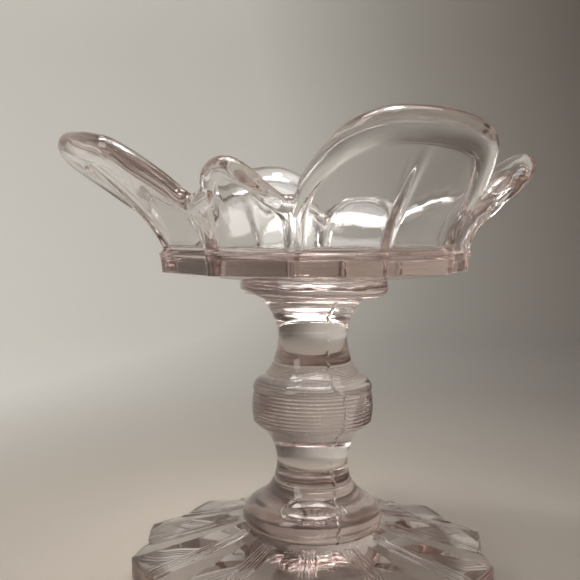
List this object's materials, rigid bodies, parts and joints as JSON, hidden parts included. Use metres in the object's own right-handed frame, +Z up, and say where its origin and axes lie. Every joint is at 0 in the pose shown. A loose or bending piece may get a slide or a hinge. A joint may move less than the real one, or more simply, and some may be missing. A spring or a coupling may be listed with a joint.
{
  "type": "pressed glass candle stand",
  "caption": "Footed pressed-glass candle stand: a fluted round foot, a turned stem with a ringed knop and a shallow bowl whose rim is drawn out into large and small rounded petals.",
  "frame": {"origin": "on the stem's axis, at the level of the surface the foot stands on", "axes": "+Z up along the stem; +X and +Y each run out through the middle of a large petal"},
  "size_m": [0.1472, 0.1472, 0.13],
  "materials": {
    "foot_glass": "fire-polished pressed glass, faint rose tint",
    "stem_glass": "pressed glass, faint rose tint, with a raised mould seam",
    "wafer_glass": "hot-worked glass, faint rose tint",
    "bowl_glass": "fire-polished pressed glass, faint rose tint"
  },
  "bodies": {
    "root": {"foot": "foot_glass", "stem": "stem_glass", "wafer": "wafer_glass", "bowl": "bowl_glass"}
  },
  "joints": []
}
